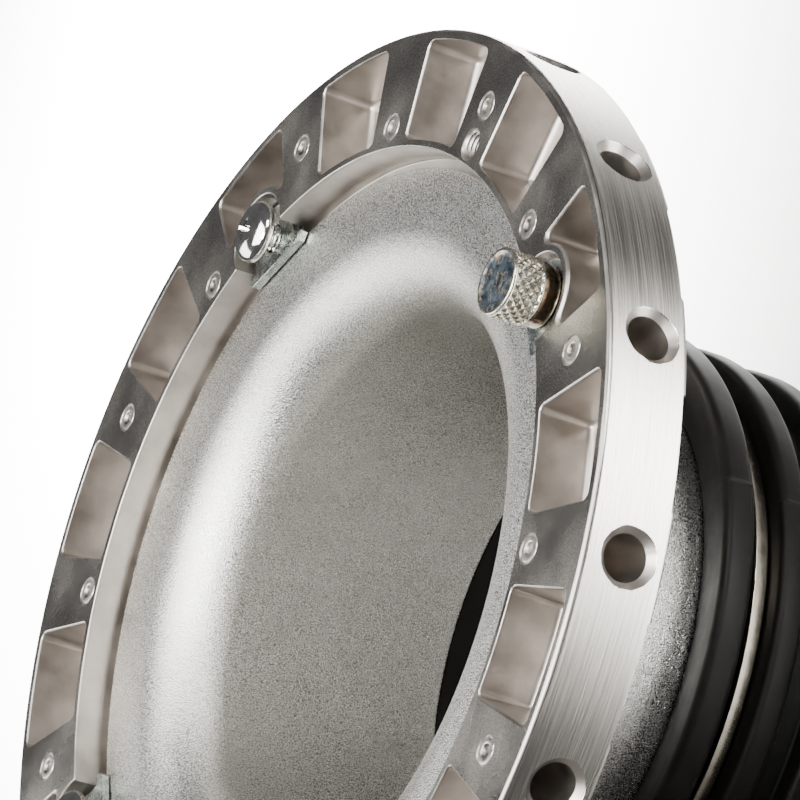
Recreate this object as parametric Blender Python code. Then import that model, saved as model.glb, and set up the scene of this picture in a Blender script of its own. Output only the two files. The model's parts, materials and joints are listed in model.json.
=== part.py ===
"""Speed ring for a studio flash: rod ring, spun insert, rubber collar and strap clamp.

Units are metres and +Z is the ring's axis, pointing out of its front face.
The origin is the centre of the rubber collar's rear face, which the part rests on.
Angles are measured about +Z from +X, where one of the rod sockets lies.
"""
import math

import bmesh
import bpy
from mathutils import Matrix, Vector

MM = 0.001
GAP = 0.3 * MM                      # clearance between pieces that touch

# Rod ring
RING_RADIUS = 100.0 * MM
RING_BORE = 78.0 * MM
RING_FRONT = 94.0 * MM              # height of the front face above the rest plane
RING_BACK = RING_FRONT - 14.8 * MM
PAD_HEIGHT = 1.0 * MM               # the back stands this proud behind each socket
PAD_INNER = 80.0 * MM
LEDGE_TOP = RING_FRONT - 7.3 * MM   # the insert's flange lies on this ledge
LEDGE_BORE = 70.0 * MM
EDGE = 0.4 * MM                     # chamfer on the turned edges
SECTORS = 16
SECTOR_ANGLE = 2 * math.pi / SECTORS
RELIEF_HALF = math.radians(6.0)     # half width of the relief between two back pads
OVERRUN = 2.0 * MM                  # how far a cutter passes the face that it opens

# Pockets between the webs
POCKET_INNER = 79.4 * MM
POCKET_OUTER = 97.9 * MM
POCKET_HALF = math.radians(6.85)
POCKET_DEPTH = 10.5 * MM
POCKET_DRAFT = 0.5 * MM             # the walls lean in by this much at the floor
POCKET_CORNER = 1.8 * MM

# Sockets for the softbox rods, drilled radially through the rim
SOCKET_RADIUS = 4.0 * MM
SOCKET_DEPTH = 15.0 * MM
SOCKET_HEIGHT = RING_FRONT - 8.6 * MM
COUNTERSINK = 5.2 * MM

# Four fixings that clamp the insert, each in a notch open to the bore
FIXING_RADIUS = 80.5 * MM
FIXING_FIRST = math.radians(33.75)
NOTCH_CENTRE = 79.8 * MM
NOTCH_RADIUS = 8.0 * MM
NOTCH_WALL = 2.0 * MM
NOTCH_FLOOR = RING_FRONT - 5.6 * MM
SCREW_RADIUS = 2.5 * MM             # M5
SPARE_HOLE_ANGLE = math.radians(67.5)
SPARE_HOLE_RADIUS = 81.6 * MM
SPARE_HOLE_DEPTH = 10.0 * MM

# Spun insert
FLANGE_RADIUS = 75.9 * MM
FLANGE_FRONT = RING_FRONT - 5.5 * MM
SHEET = 1.3 * MM
SHOULDER_START = 65.0 * MM          # the flange is flat out from this radius
SHOULDER_RADIUS = 12.5 * MM
SHOULDER_END = math.radians(176.7)  # where the shoulder's arc runs into the neck
NECK_RADIUS = 50.0 * MM             # inside, at the rear edge
NECK_END = RING_FRONT - 60.75 * MM

# Rubber collar
COLLAR_BORE = 50.0 * MM
COLLAR_FRONT = 44.0 * MM
COLLAR_FACE_DISH = 1.7 * MM         # the front face falls this much towards the neck
GROOVE_FLOOR = 54.9 * MM
RIB_EDGE = 0.6 * MM                 # chamfer on the ribs
# (rear height, front height, radius) of each rib, from the front one to the rear one
RIBS = [
    (37.4 * MM, 44.0 * MM, 61.5 * MM),
    (25.5 * MM, 31.1 * MM, 60.4 * MM),
    (12.9 * MM, 19.0 * MM, 59.8 * MM),
    (0.0 * MM, 6.4 * MM, 59.2 * MM),
]

# Strap clamp in the collar's front groove, closed by a bolt on the -X side
STRAP_INNER = GROOVE_FLOOR + GAP
STRAP_THICK = 0.8 * MM
STRAP_REAR = 31.4 * MM
STRAP_WIDTH = 2.6 * MM
STRAP_HALF_GAP = math.radians(5.2)
EAR_THICK = 1.7 * MM
EAR_FOOT_INNER = 55.4 * MM
EAR_FOOT_WIDTH = 5.4 * MM
EAR_HEAD_INNER = 61.9 * MM
EAR_HEAD_OUTER = 71.0 * MM
EAR_HEAD_WIDTH = 9.2 * MM
EAR_CORNER = 2.0 * MM
EAR_SET_BACK = 0.5 * MM             # the ears' faces stand this far from the strap's ends
BOLT_AXIS_RADIUS = 66.4 * MM
BOLT_HEIGHT = 34.2 * MM
BOLT_RADIUS = 2.0 * MM              # M4
BOLT_LENGTH = 26.0 * MM
BOLT_HEAD_RADIUS = 3.6 * MM
BOLT_HEAD_THICK = 2.8 * MM
WASHER_RADIUS = 4.4 * MM
WASHER_THICK = 0.8 * MM
NUT_RADIUS = 4.6 * MM
NUT_LENGTH = 7.0 * MM
NUT_NECK = 3.6 * MM
NUT_NECK_LENGTH = 1.4 * MM

# Clamp plates and the screws that hold them
PLATE_REAR = FLANGE_FRONT + GAP
PLATE_THICK = 1.6 * MM
PLATE_ROUND = 6.9 * MM
PLATE_FLARE = 76.6 * MM             # it widens inside the ring's bore from this radius
PLATE_INNER = 74.5 * MM
PLATE_HALF = 9.3 * MM
PLATE_NICK = 1.3 * MM               # its inner corners are cut off by this much
PLATE_TWIST = math.radians(-4.0)    # the plates don't sit quite square to the bore
PLATE_HOLE = SCREW_RADIUS + GAP
HEAD_RADIUS = 5.9 * MM
HEAD_RIM = RING_FRONT - 0.5 * MM
HEAD_HEIGHT = 3.4 * MM
HEAD_BAND = 0.5 * MM                # upright rim below the dome
SCREW_END = 81.5 * MM
THUMB_LIFT = 2.2 * MM               # the thumb screw rests loosened by this much
KNOB_RADIUS = 6.0 * MM
KNOB_TOP = RING_FRONT + 8.4 * MM
KNOB_LENGTH = 6.2 * MM
KNOB_NECK = 5.6 * MM
CLIP_OUTER = 4.4 * MM
CLIP_THICK = 0.6 * MM
CLIP_REAR = PLATE_REAR - GAP - CLIP_THICK
CLIP_POCKET_RADIUS = 5.0 * MM
CLIP_POCKET_FLOOR = CLIP_REAR - 0.5 * MM

RING_SEGMENTS = 80
BODY_SEGMENTS = 48
SMALL_SEGMENTS = 20
NOTCH_SEGMENTS = 36
SOCKET_SEGMENTS = 16
STRAP_STEPS = 60
SMOOTH_ANGLE = math.radians(30)


def make_material(name, color, roughness, metallic):
    """A Principled material in the piece's own colour and finish."""
    material = bpy.data.materials.new(name)
    material.use_nodes = True
    shader = material.node_tree.nodes["Principled BSDF"]
    shader.inputs["Base Color"].default_value = (*color, 1.0)
    shader.inputs["Roughness"].default_value = roughness
    shader.inputs["Metallic"].default_value = metallic
    material.diffuse_color = (*color, 1.0)
    return material


def finish_mesh(name, build):
    """Turn a bmesh into a smooth-shaded mesh whose faces all point outwards."""
    bmesh.ops.recalc_face_normals(build, faces=build.faces)
    mesh = bpy.data.meshes.new(name)
    build.to_mesh(mesh)
    build.free()
    mesh.shade_smooth()
    mesh.set_sharp_from_angle(angle=SMOOTH_ANGLE)
    return mesh


def add_object(name, mesh, material, parent=None, location=(0, 0, 0), angle=0.0):
    """Place a mesh as a named object, turned by an angle about +Z."""
    mesh.materials.clear()
    mesh.materials.append(material)
    thing = bpy.data.objects.new(name, mesh)
    bpy.context.collection.objects.link(thing)
    thing.location = location
    thing.rotation_euler = (0.0, 0.0, angle)
    thing.parent = parent
    return thing


def add_empty(name, location=(0, 0, 0), parent=None, axis=(0, 0, 1)):
    """An empty on a joint's axis, with its own +Z along that axis."""
    empty = bpy.data.objects.new(name, None)
    empty.empty_display_size = 0.02
    bpy.context.collection.objects.link(empty)
    empty.parent = parent
    empty.location = location
    empty.rotation_euler = Vector((0, 0, 1)).rotation_difference(Vector(axis)).to_euler()
    return empty


def turn(build, profile, segments, closed=True):
    """Spin an (r, z) outline about +Z. An open outline starts and ends on the axis."""
    corners = [build.verts.new((radius, 0.0, height)) for radius, height in profile]
    edges = [build.edges.new(pair) for pair in zip(corners, corners[1:])]
    if closed:
        edges.append(build.edges.new((corners[-1], corners[0])))
    bmesh.ops.spin(
        build, geom=corners + edges, cent=(0, 0, 0), axis=(0, 0, 1),
        dvec=(0, 0, 0), angle=2 * math.pi, steps=segments, use_merge=True,
    )
    bmesh.ops.remove_doubles(build, verts=build.verts, dist=1e-6)


def turned_mesh(name, profile, segments, closed=True):
    """A mesh of revolution about +Z."""
    build = bmesh.new()
    turn(build, profile, segments, closed)
    return finish_mesh(name, build)


def loft(build, lower, upper, low, high):
    """A solid between two outlines with equally many points, at two heights."""
    rear = [build.verts.new((x, y, low)) for x, y in lower]
    front = [build.verts.new((x, y, high)) for x, y in upper]
    build.faces.new(rear)
    build.faces.new(front)
    count = len(rear)
    for index in range(count):
        follow = (index + 1) % count
        build.faces.new((rear[index], rear[follow], front[follow], front[index]))


def polar(radius, angle):
    """A point of the ring's plane from its radius and angle."""
    return (radius * math.cos(angle), radius * math.sin(angle))


def arc(centre, radius, start, end, steps):
    """Points along an arc, both ends included."""
    return [
        (centre[0] + radius * math.cos(angle), centre[1] + radius * math.sin(angle))
        for angle in (start + (end - start) * step / steps for step in range(steps + 1))
    ]


def round_corner(before, corner, after, radius, steps=3):
    """Points that round one corner of an outline."""
    point = Vector(corner)
    back = (Vector(before) - point).normalized()
    forth = (Vector(after) - point).normalized()
    half = back.angle(forth) / 2
    reach = radius / math.tan(half)
    middle = point + (back + forth).normalized() * radius / math.sin(half)
    first = point + back * reach - middle
    last = point + forth * reach - middle
    sweep = first.angle_signed(last)
    turned_points = []
    for step in range(steps + 1):
        offset = first.copy()
        offset.rotate(Matrix.Rotation(-sweep * step / steps, 2))
        turned_points.append(tuple(middle + offset))
    return turned_points


def rotate_outline(outline, angle):
    """An outline turned about the ring's axis."""
    cosine, sine = math.cos(angle), math.sin(angle)
    return [(x * cosine - y * sine, x * sine + y * cosine) for x, y in outline]


def sector_outline(inner, outer, half, steps=4):
    """A ring sector centred on +X."""
    return arc((0, 0), outer, -half, half, steps) + arc((0, 0), inner, half, -half, steps)


def pocket_outline(inset, around_boss):
    """A pocket's outline centred on +X, drawn in by inset. A fixing's boss bites into it."""
    outer = POCKET_OUTER - inset
    half = POCKET_HALF - inset / POCKET_OUTER
    corner = POCKET_CORNER - inset
    outer_arc = arc((0, 0), outer, -half, half, 4)
    if around_boss:
        boss = NOTCH_RADIUS + NOTCH_WALL + inset
        reach = math.sqrt(boss ** 2 - (NOTCH_CENTRE * math.sin(half)) ** 2)
        meets = polar(NOTCH_CENTRE * math.cos(half) + reach, half)
        sweep = math.atan2(meets[1], meets[0] - NOTCH_CENTRE)
        inner_arc = arc((NOTCH_CENTRE, 0.0), boss, sweep, -sweep, 10)
    else:
        inner_arc = arc((0, 0), POCKET_INNER + inset, half, -half, 4)
    outline = round_corner(inner_arc[-1], outer_arc[0], outer_arc[1], corner)
    outline += outer_arc[1:-1]
    outline += round_corner(outer_arc[-2], outer_arc[-1], inner_arc[0], corner)
    if around_boss:
        return outline + inner_arc
    outline += round_corner(outer_arc[-1], inner_arc[0], inner_arc[1], corner)
    outline += inner_arc[1:-1]
    return outline + round_corner(inner_arc[-2], inner_arc[-1], outer_arc[0], corner)


def is_fixing(pocket):
    """Whether this pocket, counted from +X, holds one of the four fixings."""
    return pocket % 4 == 1


def add_cutter(name, build):
    """A hidden solid that a Boolean subtracts."""
    mesh = finish_mesh(name, build)
    cutter = bpy.data.objects.new(name, mesh)
    bpy.context.collection.objects.link(cutter)
    cutter.hide_render = True
    cutter.display_type = "WIRE"
    return cutter


def cut(thing, cutter):
    """Subtract a cutter from an object."""
    modifier = thing.modifiers.new(cutter.name, "BOOLEAN")
    modifier.operation = "DIFFERENCE"
    modifier.solver = "EXACT"
    modifier.object = cutter


def add_cylinder(build, radius, low, high, centre, segments=SMALL_SEGMENTS):
    """A plain cylinder along +Z, centred on a point of the ring's plane."""
    circle = arc(centre, radius, 0.0, 2 * math.pi, segments)[:-1]
    loft(build, circle, circle, low, high)


def pocket_cutter():
    """The sixteen pockets, with a drafted wall."""
    build = bmesh.new()
    floor = RING_FRONT - POCKET_DEPTH
    above = RING_FRONT + OVERRUN
    slope = POCKET_DRAFT * OVERRUN / POCKET_DEPTH
    for pocket in range(SECTORS):
        angle = (pocket + 0.5) * SECTOR_ANGLE
        lower = rotate_outline(pocket_outline(POCKET_DRAFT, is_fixing(pocket)), angle)
        upper = rotate_outline(pocket_outline(-slope, is_fixing(pocket)), angle)
        loft(build, lower, upper, floor, above)
    return add_cutter("cut_pockets", build)


def notch_cutter():
    """The four notches that the clamp plates lie in."""
    build = bmesh.new()
    for fixing in range(4):
        centre = polar(NOTCH_CENTRE, FIXING_FIRST + fixing * math.pi / 2)
        add_cylinder(build, NOTCH_RADIUS, NOTCH_FLOOR, RING_FRONT + OVERRUN, centre, NOTCH_SEGMENTS)
    return add_cutter("cut_notches", build)


def hole_cutter():
    """The four screw holes and the spare tapped hole."""
    build = bmesh.new()
    low = RING_BACK - PAD_HEIGHT - OVERRUN
    high = RING_FRONT + OVERRUN
    for fixing in range(4):
        centre = polar(FIXING_RADIUS, FIXING_FIRST + fixing * math.pi / 2)
        add_cylinder(build, SCREW_RADIUS + GAP, low, high, centre)
    spare = polar(SPARE_HOLE_RADIUS, SPARE_HOLE_ANGLE)
    add_cylinder(build, SCREW_RADIUS, RING_FRONT - SPARE_HOLE_DEPTH, high, spare)
    return add_cutter("cut_holes", build)


def clip_pocket_cutter():
    """The counterbore that the thumb screw's retaining clip runs in."""
    build = bmesh.new()
    centre = polar(FIXING_RADIUS, FIXING_FIRST)
    add_cylinder(build, CLIP_POCKET_RADIUS, CLIP_POCKET_FLOOR, RING_FRONT, centre)
    return add_cutter("cut_clip_pocket", build)


def socket_cutter():
    """The sixteen radial rod sockets, each with a countersunk mouth."""
    build = bmesh.new()
    bottom = RING_RADIUS - SOCKET_DEPTH
    flare = COUNTERSINK - SOCKET_RADIUS
    profile = [
        (0.0, bottom),
        (SOCKET_RADIUS, bottom),
        (SOCKET_RADIUS, RING_RADIUS - flare),
        (COUNTERSINK + OVERRUN, RING_RADIUS + OVERRUN),
        (0.0, RING_RADIUS + OVERRUN),
    ]
    lie_down = Matrix.Rotation(math.pi / 2, 4, "Y")
    for socket in range(SECTORS):
        single = bmesh.new()
        turn(single, profile, SOCKET_SEGMENTS, closed=False)
        spin = Matrix.Rotation(socket * SECTOR_ANGLE, 4, "Z")
        lift = Matrix.Translation((0, 0, SOCKET_HEIGHT))
        bmesh.ops.transform(single, matrix=lift @ spin @ lie_down, verts=single.verts)
        part = bpy.data.meshes.new("socket")
        single.to_mesh(part)
        single.free()
        build.from_mesh(part)
        bpy.data.meshes.remove(part)
    return add_cutter("cut_sockets", build)


def back_cutter():
    """Relief between the pads on the ring's back."""
    build = bmesh.new()
    outline = sector_outline(PAD_INNER - 2 * OVERRUN, RING_RADIUS + OVERRUN, RELIEF_HALF)
    for sector in range(SECTORS):
        turned = rotate_outline(outline, (sector + 0.5) * SECTOR_ANGLE)
        loft(build, turned, turned, RING_BACK - PAD_HEIGHT - OVERRUN, RING_BACK)
    return add_cutter("cut_back", build)


def make_rod_ring(parent):
    """The die-cast ring that carries the softbox rods."""
    pad_back = RING_BACK - PAD_HEIGHT
    profile = [
        (RING_BORE + EDGE, RING_FRONT),
        (RING_RADIUS - EDGE, RING_FRONT),
        (RING_RADIUS, RING_FRONT - EDGE),
        (RING_RADIUS, pad_back + EDGE),
        (RING_RADIUS - EDGE, pad_back),
        (PAD_INNER, pad_back),
        (PAD_INNER - PAD_HEIGHT, RING_BACK),
        (LEDGE_BORE + EDGE, RING_BACK),
        (LEDGE_BORE, RING_BACK + EDGE),
        (LEDGE_BORE, LEDGE_TOP - EDGE),
        (LEDGE_BORE + EDGE, LEDGE_TOP),
        (RING_BORE, LEDGE_TOP),
        (RING_BORE, RING_FRONT - EDGE),
    ]
    material = make_material("cast_aluminium", (0.62, 0.60, 0.57), 0.32, 1.0)
    mesh = turned_mesh("rod_ring", profile, RING_SEGMENTS)
    ring = add_object("rod_ring", mesh, material, parent)
    for cutter in (back_cutter(), pocket_cutter(), notch_cutter(), hole_cutter(),
                   clip_pocket_cutter(), socket_cutter()):
        cut(ring, cutter)


def neck_outside(height):
    """The neck's outer radius at a height, because the neck tapers to the rear."""
    top_height = FLANGE_FRONT - SHOULDER_RADIUS + SHOULDER_RADIUS * math.sin(SHOULDER_END)
    top_radius = SHOULDER_START + SHOULDER_RADIUS * math.cos(SHOULDER_END)
    share = (height - NECK_END) / (top_height - NECK_END)
    return NECK_RADIUS + share * (top_radius - NECK_RADIUS) + SHEET


def make_insert():
    """The spun insert: flat flange, rounded shoulder and a slightly tapered neck."""
    shoulder_height = FLANGE_FRONT - SHOULDER_RADIUS
    centre = (SHOULDER_START, shoulder_height)
    outside_radius = SHOULDER_RADIUS - SHEET
    front = [(FLANGE_RADIUS, FLANGE_FRONT)]
    front += arc(centre, SHOULDER_RADIUS, math.pi / 2, SHOULDER_END, 8)
    front.append((NECK_RADIUS, NECK_END))
    rear = [(NECK_RADIUS + SHEET, NECK_END)]
    rear += arc(centre, outside_radius, SHOULDER_END, math.pi / 2, 6)
    rear.append((FLANGE_RADIUS, FLANGE_FRONT - SHEET))
    material = make_material("blasted_aluminium", (0.66, 0.65, 0.63), 0.42, 1.0)
    mesh = turned_mesh("cone_insert", front + rear, BODY_SEGMENTS)
    add_object("cone_insert", mesh, material)


def make_collar():
    """The ribbed rubber collar that grips the flash head behind the neck."""
    seat_front = COLLAR_FRONT - COLLAR_FACE_DISH
    profile = [
        (COLLAR_BORE, 0.0),
        (COLLAR_BORE, NECK_END - GAP),
        (neck_outside(NECK_END) + 1.2 * GAP, NECK_END - GAP),
        (neck_outside(seat_front) + 1.2 * GAP, seat_front),
    ]
    for rear, front, radius in RIBS:
        if rear < RIBS[0][0]:
            profile.append((GROOVE_FLOOR, front))
        profile.append((radius - RIB_EDGE, front))
        profile.append((radius, front - RIB_EDGE))
        profile.append((radius, rear + RIB_EDGE))
        profile.append((radius - RIB_EDGE, rear))
        if rear > 0.0:
            profile.append((GROOVE_FLOOR, rear))
    material = make_material("black_rubber", (0.018, 0.017, 0.016), 0.55, 0.0)
    mesh = turned_mesh("rubber_collar", profile, BODY_SEGMENTS)
    add_object("rubber_collar", mesh, material)


def ear_outline():
    """One ear of the strap, as (radius, height) points: a narrow foot and a wide head."""
    foot = EAR_FOOT_WIDTH / 2
    head = EAR_HEAD_WIDTH / 2
    corners = [
        (EAR_FOOT_INNER, BOLT_HEIGHT - foot),
        (EAR_HEAD_INNER, BOLT_HEIGHT - foot),
        (EAR_HEAD_INNER, BOLT_HEIGHT - head),
        (EAR_HEAD_OUTER, BOLT_HEIGHT - head),
        (EAR_HEAD_OUTER, BOLT_HEIGHT + head),
        (EAR_HEAD_INNER, BOLT_HEIGHT + head),
        (EAR_HEAD_INNER, BOLT_HEIGHT + foot),
        (EAR_FOOT_INNER, BOLT_HEIGHT + foot),
    ]
    outline = corners[:3]
    outline += round_corner(corners[2], corners[3], corners[4], EAR_CORNER)
    outline += round_corner(corners[3], corners[4], corners[5], EAR_CORNER)
    return outline + corners[5:]


def make_strap():
    """The steel strap with an ear at each end, open on the -X side."""
    outer = STRAP_INNER + STRAP_THICK
    span = 2 * math.pi - 2 * STRAP_HALF_GAP
    start = -math.pi + STRAP_HALF_GAP
    outline = arc((0, 0), outer, start, start + span, STRAP_STEPS)
    outline += arc((0, 0), STRAP_INNER, start + span, start, STRAP_STEPS)
    band_build = bmesh.new()
    loft(band_build, outline, outline, STRAP_REAR, STRAP_REAR + STRAP_WIDTH)
    material = make_material("strap_steel", (0.60, 0.58, 0.55), 0.28, 1.0)
    mesh = finish_mesh("strap_band", band_build)
    band = add_object("strap_band", mesh, material)

    ear_build = bmesh.new()
    ear_end = EAR_FOOT_INNER * math.sin(STRAP_HALF_GAP) + EAR_SET_BACK
    for side in (-1, 1):
        near, far = ear_end * side, (ear_end - EAR_THICK) * side
        first = [ear_build.verts.new((-radius, near, height)) for radius, height in ear_outline()]
        second = [ear_build.verts.new((-radius, far, height)) for radius, height in ear_outline()]
        ear_build.faces.new(first)
        ear_build.faces.new(second)
        count = len(first)
        for index in range(count):
            follow = (index + 1) % count
            ear_build.faces.new((first[index], first[follow], second[follow], second[index]))
    ears = add_cutter("join_ears", ear_build)
    union = band.modifiers.new("ears", "BOOLEAN")
    union.operation = "UNION"
    union.solver = "EXACT"
    union.object = ears

    bolt_hole = bmesh.new()
    add_cylinder(bolt_hole, BOLT_RADIUS + GAP, -ear_end - OVERRUN, ear_end + OVERRUN, (0, 0))
    lay = Matrix.Rotation(math.pi / 2, 4, "X")
    move = Matrix.Translation((-BOLT_AXIS_RADIUS, 0, BOLT_HEIGHT))
    bmesh.ops.transform(bolt_hole, matrix=move @ lay, verts=bolt_hole.verts)
    cut(band, add_cutter("cut_bolt_hole", bolt_hole))
    return ear_end


def make_closure(ear_end):
    """Bolt, washers and knurled nut that draw the strap's ears together, along -Y."""
    steel = make_material("zinc_steel", (0.62, 0.63, 0.62), 0.30, 1.0)
    nickel = make_material("nickel_steel", (0.70, 0.67, 0.60), 0.25, 1.0)
    axis = add_empty("clamp_axis", (-BOLT_AXIS_RADIUS, 0, BOLT_HEIGHT), axis=(0, -1, 0))
    head_washer = -ear_end - GAP - WASHER_THICK
    head = head_washer - GAP
    bolt_profile = [
        (0.0, head - BOLT_HEAD_THICK),
        (BOLT_HEAD_RADIUS - EDGE, head - BOLT_HEAD_THICK),
        (BOLT_HEAD_RADIUS, head - BOLT_HEAD_THICK + EDGE),
        (BOLT_HEAD_RADIUS, head),
        (BOLT_RADIUS, head),
        (BOLT_RADIUS, head + BOLT_LENGTH - EDGE),
        (BOLT_RADIUS - EDGE, head + BOLT_LENGTH),
        (0.0, head + BOLT_LENGTH),
    ]
    add_object("clamp_bolt", turned_mesh("clamp_bolt", bolt_profile, SMALL_SEGMENTS, False),
               steel, axis)
    washer_profile = [
        (BOLT_RADIUS + GAP, 0.0),
        (WASHER_RADIUS, 0.0),
        (WASHER_RADIUS, WASHER_THICK),
        (BOLT_RADIUS + GAP, WASHER_THICK),
    ]
    washer = turned_mesh("washer", washer_profile, SMALL_SEGMENTS)
    nut_side = ear_end + GAP
    add_object("bolt_washer", washer, steel, axis, (0, 0, head_washer))
    add_object("nut_washer", washer.copy(), steel, axis, (0, 0, nut_side))
    nut_base = nut_side + WASHER_THICK + GAP
    nut_profile = [
        (BOLT_RADIUS + GAP, 0.0),
        (NUT_NECK, 0.0),
        (NUT_NECK, NUT_NECK_LENGTH),
        (NUT_RADIUS, NUT_NECK_LENGTH + EDGE),
        (NUT_RADIUS, NUT_LENGTH - EDGE),
        (NUT_RADIUS - EDGE, NUT_LENGTH),
        (BOLT_RADIUS + GAP, NUT_LENGTH),
    ]
    add_object("clamp_nut", turned_mesh("clamp_nut", nut_profile, SMALL_SEGMENTS),
               nickel, axis, (0, 0, nut_base))


def plate_outline():
    """A clamp plate about its own screw: round outwards, a wide straight edge inwards."""
    flare = PLATE_FLARE - FIXING_RADIUS
    inner = PLATE_INNER - FIXING_RADIUS
    side = [(flare, PLATE_ROUND), (flare - GAP, PLATE_HALF),
            (inner + PLATE_NICK, PLATE_HALF), (inner, PLATE_HALF - PLATE_NICK)]
    mirrored = [(x, -y) for x, y in reversed(side)]
    sweep = math.pi / 2 + math.asin(-flare / PLATE_ROUND) / 2
    return arc((0, 0), PLATE_ROUND, -sweep, sweep, 14) + side + mirrored


def make_plate_mesh():
    """The mesh that the four clamp plates share."""
    build = bmesh.new()
    outline = plate_outline()
    loft(build, outline, outline, 0.0, PLATE_THICK)
    return finish_mesh("clamp_plate", build)


def make_pan_screw_mesh():
    """A domed M5 screw, with its head's rim at height zero."""
    crown = HEAD_HEIGHT - HEAD_BAND
    dome = [
        (HEAD_RADIUS * math.cos(angle), HEAD_BAND + crown * math.sin(angle))
        for angle in (math.radians(degrees) for degrees in (0, 22, 44, 66))
    ]
    profile = [(0.0, SCREW_END - HEAD_RIM), (SCREW_RADIUS, SCREW_END - HEAD_RIM),
               (SCREW_RADIUS, 0.0), (HEAD_RADIUS - EDGE, 0.0)]
    profile += dome + [(0.0, HEAD_HEIGHT)]
    return turned_mesh("pan_screw", profile, SMALL_SEGMENTS, False)


def make_thumb_screw_mesh():
    """The knurled thumb screw, with its neck's foot at height zero."""
    foot = PLATE_REAR + THUMB_LIFT + PLATE_THICK + GAP
    end = SCREW_END + THUMB_LIFT - foot
    top = KNOB_TOP - foot
    skirt = top - KNOB_LENGTH
    profile = [
        (0.0, end),
        (SCREW_RADIUS, end),
        (SCREW_RADIUS, 0.0),
        (KNOB_NECK, 0.0),
        (KNOB_NECK, skirt),
        (KNOB_RADIUS, skirt + EDGE),
        (KNOB_RADIUS, top - EDGE),
        (KNOB_RADIUS - EDGE, top),
        (0.0, top),
    ]
    return turned_mesh("thumb_screw", profile, SMALL_SEGMENTS, False), foot


def make_fixings(ring_axis):
    """Three pan screws and one thumb screw, each on its clamp plate."""
    zinc = make_material("zinc_plate", (0.55, 0.60, 0.60), 0.35, 1.0)
    bright = make_material("bright_nickel", (0.80, 0.79, 0.76), 0.15, 1.0)
    knurl = make_material("knurled_nickel", (0.72, 0.69, 0.60), 0.28, 1.0)
    spring = make_material("spring_steel", (0.35, 0.35, 0.36), 0.35, 1.0)
    plate_mesh = make_plate_mesh()
    screw_mesh = make_pan_screw_mesh()
    hole = bmesh.new()
    add_cylinder(hole, PLATE_HOLE, -OVERRUN, PLATE_THICK + OVERRUN, (0, 0))
    hole_cut = add_cutter("cut_plate_hole", hole)

    for fixing, label in enumerate(("thumb", "a", "b", "c")):
        angle = FIXING_FIRST + fixing * math.pi / 2
        x, y = polar(FIXING_RADIUS, angle)
        if label == "thumb":
            mesh, foot = make_thumb_screw_mesh()
            axis = add_empty("thumb_axis", (x, y, 0), ring_axis)
            plate = add_object("thumb_plate", plate_mesh, zinc, axis,
                               (0, 0, PLATE_REAR + THUMB_LIFT), angle + PLATE_TWIST)
            add_object("thumb_screw", mesh, knurl, axis, (0, 0, foot))
            clip_profile = [
                (SCREW_RADIUS + GAP, 0.0),
                (CLIP_OUTER, 0.0),
                (CLIP_OUTER, CLIP_THICK),
                (SCREW_RADIUS + GAP, CLIP_THICK),
            ]
            add_object("plate_clip", turned_mesh("plate_clip", clip_profile, SMALL_SEGMENTS),
                       spring, axis, (0, 0, CLIP_REAR + THUMB_LIFT))
        else:
            plate = add_object("clamp_plate_" + label, plate_mesh.copy(), zinc, ring_axis,
                               (x, y, PLATE_REAR), angle + PLATE_TWIST)
            add_object("pan_screw_" + label, screw_mesh, bright, ring_axis,
                       (x, y, HEAD_RIM), angle)
        own_cutter = hole_cut if fixing == 0 else add_copy(hole_cut, label)
        own_cutter.parent = plate
        cut(plate, own_cutter)


def add_copy(cutter, label):
    """A further copy of a cutter, sharing its mesh."""
    twin = bpy.data.objects.new(cutter.name + "_" + label, cutter.data)
    bpy.context.collection.objects.link(twin)
    twin.hide_render = True
    twin.display_type = "WIRE"
    return twin


def main():
    """Clear the scene and build the whole part."""
    for thing in list(bpy.data.objects):
        bpy.data.objects.remove(thing)
    make_insert()
    make_collar()
    ear_end = make_strap()
    make_closure(ear_end)
    ring_axis = add_empty("ring_axis")
    make_rod_ring(ring_axis)
    make_fixings(ring_axis)


main()
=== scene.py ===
import json
import math
import random

import bmesh
import bpy
from mathutils import Matrix, Vector
from mathutils.noise import noise as noiseAt

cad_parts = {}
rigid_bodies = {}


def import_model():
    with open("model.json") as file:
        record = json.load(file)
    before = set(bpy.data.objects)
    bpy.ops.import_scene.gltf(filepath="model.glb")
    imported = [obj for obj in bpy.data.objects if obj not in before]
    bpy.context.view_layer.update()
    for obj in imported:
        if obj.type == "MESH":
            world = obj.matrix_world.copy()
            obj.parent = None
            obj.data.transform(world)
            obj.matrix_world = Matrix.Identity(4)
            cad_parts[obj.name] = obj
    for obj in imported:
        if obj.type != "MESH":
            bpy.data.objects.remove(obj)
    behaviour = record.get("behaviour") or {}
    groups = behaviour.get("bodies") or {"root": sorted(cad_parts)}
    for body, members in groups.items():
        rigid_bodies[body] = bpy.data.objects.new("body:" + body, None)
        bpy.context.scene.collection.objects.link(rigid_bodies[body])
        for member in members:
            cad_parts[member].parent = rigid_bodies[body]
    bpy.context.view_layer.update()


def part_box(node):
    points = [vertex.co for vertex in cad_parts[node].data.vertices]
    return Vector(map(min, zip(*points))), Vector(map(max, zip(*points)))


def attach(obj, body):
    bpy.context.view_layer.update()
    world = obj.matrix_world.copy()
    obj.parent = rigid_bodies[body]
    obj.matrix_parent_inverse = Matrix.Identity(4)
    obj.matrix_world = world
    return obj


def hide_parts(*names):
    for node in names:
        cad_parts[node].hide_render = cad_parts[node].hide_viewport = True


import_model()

mm = 0.001
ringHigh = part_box("rod_ring")[1]
frontZ = ringHigh.z                       # the ring's front face
outerR = ringHigh.x
sectors = 16
step = 2 * math.pi / sectors
fixingR = 80.5 * mm
notchR = 79.8 * mm                        # the notches' centres lie a little further in
fixingAngle = math.radians(33.75)         # the thumb screw; the pan screws follow every 90 degrees
print("frame loaded")


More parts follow.
